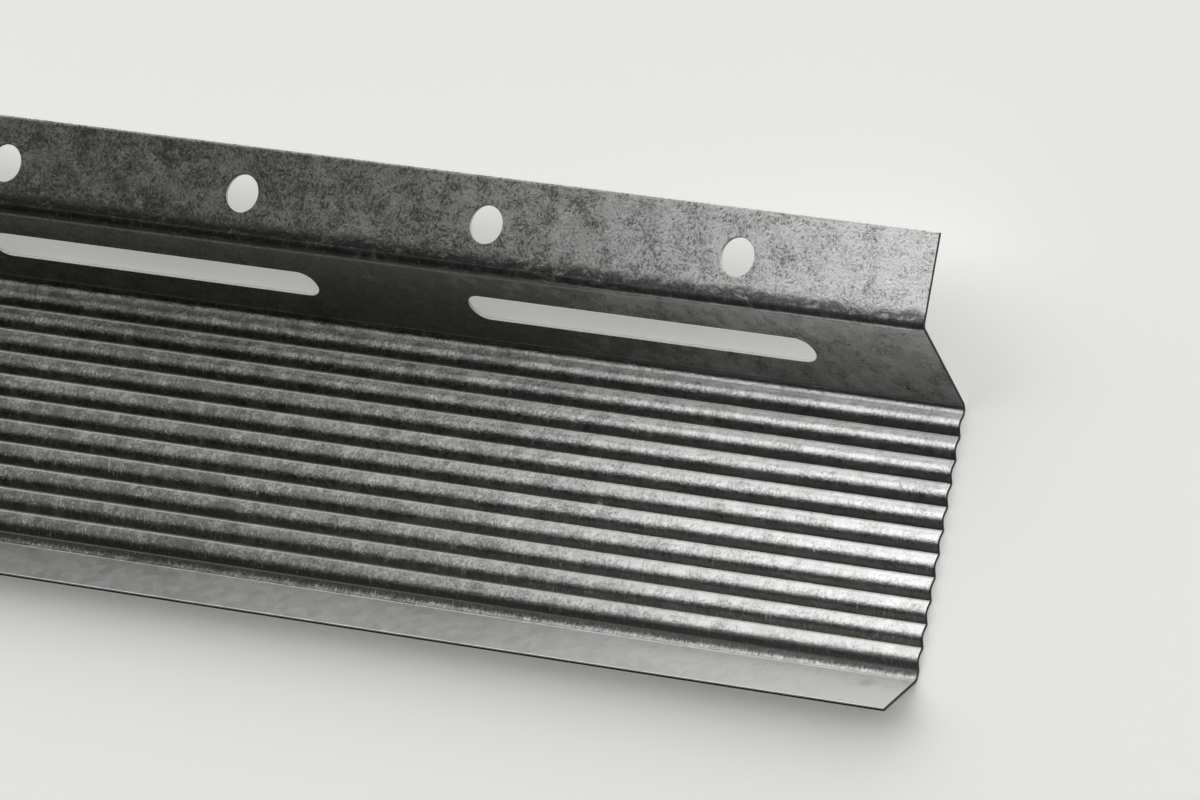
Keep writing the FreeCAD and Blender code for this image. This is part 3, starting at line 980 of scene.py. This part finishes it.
    def spot_rows(self, title: str, spots: tuple[Spot, ...]) -> list[Row]:
        """Recipe rows that add round marks to a row, with edges that the grain makes uneven.

        Args:
            title: Row that takes the marks.
            spots: The marks.

        Returns:
            Rows as in places. The distance from a mark's middle is less where the grain is higher.
        """
        rows: list[Row] = []
        for spot in spots:
            edge, core = spot.edge * spot.reach, spot.core * spot.reach
            rows += [
                ("off", Rule.APART, "sheet", (spot.along, spot.across, spot.depth)),
                ("off", Rule.TIMES_PLUS, "strokes", -spot.uneven * spot.reach, "off"),
                ("mark", Rule.STEP, "off", edge, core, 0.0, spot.share),
                (title, Rule.LARGER, title, "mark"),
            ]
        return rows

    def material(self) -> bpy.types.Material:
        """Make the finish's material.

        Returns:
            A material that reads the strip's own rolled-out coordinates, in millimetres.
        """
        made = bpy.data.materials.new(self.name)
        made.use_nodes = True
        made.node_tree.nodes.clear()
        node = partial(add_node, made.node_tree)
        sheet = node(Kind.ATTRIBUTE, output="Vector", attribute_name="rolled")
        zones = node(Kind.ATTRIBUTE, output="Vector", attribute_name="zones")
        crystals = node(Kind.CRYSTALS, {"Vector": sheet, "Scale": 1 / self.crystal}, "Color")
        place = node(Kind.COORDINATES, output="Object")
        fields = {
            "sheet": sheet,
            "along": node(Kind.PARTS, {"Vector": sheet}, "X"),
            "across": node(Kind.PARTS, {"Vector": sheet}, "Y"),
            "depth": node(Kind.PARTS, {"Vector": sheet}, "Z"),
            "height": node(Kind.PARTS, {"Vector": place}, "Z"),
            "flange": node(Kind.PARTS, {"Vector": zones}, "X"),
            "web": node(Kind.PARTS, {"Vector": zones}, "Y"),
            "lip": node(Kind.PARTS, {"Vector": zones}, "Z"),
            "cut": node(Kind.ATTRIBUTE, output="Fac", attribute_name="cut"),
            "crystals": node(Kind.PARTS, {"Vector": crystals}, "X"),
        }
        # The grain's strokes lie in another direction in each crystal of the zinc.
        half_turn = node(Kind.MATH, {0: fields["crystals"], 1: math.pi}, operation="MULTIPLY")
        turned = node(Kind.TURN, {"Vector": sheet, "Angle": half_turn})
        for title, pattern, ground in (
            ("strokes", self.strokes, turned),
            ("hairs", self.hairs, sheet),
            ("streaks", self.streaks, sheet),
            ("blots", self.blots, sheet),
            ("patches", self.patches, sheet),
            ("clouds", self.clouds, sheet),
        ):
            drawn_out = (1 / pattern.along, 1 / pattern.across, 1.0)
            noise = {
                "Vector": node(Kind.MAPPING, {"Vector": ground, "Scale": drawn_out}),
                "Scale": 1 / pattern.size,
                "Detail": pattern.detail,
                "Roughness": pattern.rough,
                "Distortion": pattern.twist,
            }
            fields[title] = node(Kind.NOISE, noise, "Fac")
        recipe = self.places() + self.soiling() + self.wear() + self.touch()
        for title, rule, *terms in recipe:
            kind, output, setting, choice = rule.value
            values = [fields[term] if isinstance(term, str) else term for term in terms]
            fields[title] = node(kind, dict(enumerate(values)), output, **{setting: choice})

        tone = linear(self.bright)
        for share, colour in (
            ("film", self.soiled),
            ("aged", self.patina),
            ("stain", self.oxide),
            ("crusted", self.crust),
            ("grime", self.dirt),
            ("chalk", self.chalk),
            ("torn", self.sheared),
        ):
            inputs = {MIX_FACTOR: fields[share], MIX_FIRST: tone, MIX_SECOND: linear(colour)}
            tone = node(Kind.MIX, inputs, MIX_RESULT, data_type="RGBA")
        raised = {"Height": fields["relief"], "Distance": MILLIMETRE, "Strength": 1.0}
        surface = {
            "Base Color": tone,
            "Metallic": fields["metal"],
            "Roughness": fields["rough"],
            "Normal": node(Kind.BUMP, raised, "Normal"),
        }
        node(Kind.MATERIAL_OUTPUT, {"Surface": node(Kind.PRINCIPLED, surface, "BSDF")})
        return made


@dataclass
class Studio:
    """Pale floor, in metres, and soft light from the flange's side."""

    floor_half: float = 90.0
    floor_lines: int = 7
    floor_tone: str = "#f2f2ef"
    floor_roughness: float = 0.9
    floor_lift: float = 0.2
    light_edge: tuple[float, float] = (-0.12, 0.21)
    shade: float = 0.006
    glow: float = 1.8

    def build_floor(self) -> bpy.types.Object:
        """Make the floor as a flat grid at the height of the strip's lowest crests.

        Returns:
            The floor.
        """
        line = np.linspace(-self.floor_half, self.floor_half, self.floor_lines)
        x, y = np.meshgrid(line, line, indexing="ij")
        places = np.stack([x, y, np.zeros_like(x)], axis=-1).reshape(-1, 3)
        numbers = np.arange(x.size).reshape(x.shape)
        mesh = bpy.data.meshes.new("studio_floor")
        mesh.from_pydata(places.tolist(), [], Surface.grid_triangles(numbers).tolist())
        mesh.update()
        mesh.materials.append(self.floor_paint())
        floor = bpy.data.objects.new("studio_floor", mesh)
        bpy.context.scene.collection.objects.link(floor)
        return floor

    def floor_paint(self) -> bpy.types.Material:
        """Make the floor's matt rolled paint, which to the eye is pale, even and without a shine.

        It is a little lifted where it is seen directly, in metal or through an opening.

        Returns:
            The material.
        """
        paint = bpy.data.materials.new("floor_paint")
        paint.use_nodes = True
        paint.node_tree.nodes.clear()
        node = partial(add_node, paint.node_tree)
        lift: Any = 0.0
        for ray in ("Is Camera Ray", "Is Glossy Ray", "Is Transmission Ray"):
            seen = {0: node(Kind.LIGHT_PATH, output=ray), 1: self.floor_lift, 2: lift}
            lift = node(Kind.MATH, seen, operation="MULTIPLY_ADD")
        matt = {
            "Base Color": linear(self.floor_tone),
            "Roughness": self.floor_roughness,
            "Emission Color": linear(self.floor_tone),
            "Emission Strength": lift,
        }
        node(Kind.MATERIAL_OUTPUT, {"Surface": node(Kind.PRINCIPLED, matt, "BSDF")})
        return paint

    def build_light(self) -> None:
        """Light the scene by a sky that is bright on the flange's side and falls off from there."""
        world = bpy.data.worlds.new("studio_light")
        bpy.context.scene.world = world
        world.use_nodes = True
        world.node_tree.nodes.clear()
        node = partial(add_node, world.node_tree)
        ray = node(Kind.COORDINATES, output="Generated")
        towards = {
            "Value": node(Kind.PARTS, {"Vector": ray}, "Y"),
            "From Min": self.light_edge[0],
            "From Max": self.light_edge[1],
            "To Min": self.shade,
            "To Max": self.glow,
        }
        strength = node(Kind.RANGE, towards, "Result", interpolation_type="SMOOTHSTEP")
        sky = node(Kind.BACKGROUND, {"Strength": strength}, "Background")
        node(Kind.WORLD_OUTPUT, {"Surface": sky})


@dataclass
class PhotoCamera:
    """Camera at the photograph's place, direction and angle of view, in metres in the row frame.

    Focal length and image width are in the photograph's pixels, and the sensor in millimetres.
    """

    place: tuple[float, float, float] = (2.2440783, -0.0825183, 1.2171897)
    right: tuple[float, float, float] = (0.82828933, 0.17509914, -0.53223781)
    down: tuple[float, float, float] = (0.11430513, -0.98274427, -0.14542363)
    forward: tuple[float, float, float] = (-0.54851721, 0.05961533, -0.83401132)
    focal_pixels: float = 10959.28
    image_width: float = 1200.0
    sensor: float = 36.0
    nearest: float = 0.05
    farthest: float = 400.0

    def build(self) -> bpy.types.Object:
        """Make the camera the scene's own.

        Returns:
            The camera.
        """
        lens = bpy.data.cameras.new("photo_camera")
        lens.sensor_fit = "HORIZONTAL"
        lens.sensor_width = self.sensor
        lens.lens = self.focal_pixels / self.image_width * self.sensor
        lens.clip_start = self.nearest
        lens.clip_end = self.farthest
        camera = bpy.data.objects.new("photo_camera", lens)
        axes = np.eye(4)
        axes[:3, 0] = self.right
        axes[:3, 1] = -np.array(self.down)
        axes[:3, 2] = -np.array(self.forward)
        axes[:3, 3] = self.place
        camera.matrix_world = Matrix(axes.tolist())
        bpy.context.scene.collection.objects.link(camera)
        bpy.context.scene.camera = camera
        return camera


def main() -> None:
    """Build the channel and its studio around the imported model."""
    logging.basicConfig(level=logging.INFO, format="%(name)s: %(message)s")
    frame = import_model()
    log.info("frame with nodes %s", sorted(frame["nodes"]))

    PhotoCamera().build()
    studio = Studio()
    studio.build_light()
    log.info("stage: %s", studio.build_floor().name)

    edge_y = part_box(NODE)[1].y / MILLIMETRE
    strip = ResilientChannel().build(edge_y)
    strip.data.materials.append(GalvanisedSteel().material())
    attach(strip, BODY)
    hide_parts(NODE)
    mesh = strip.data
    log.info("piece: %s, %d vertices, %d faces", strip.name, len(mesh.vertices), len(mesh.polygons))

    bpy.context.scene.view_settings.view_transform = "Standard"


if __name__ == "__main__":
    main()
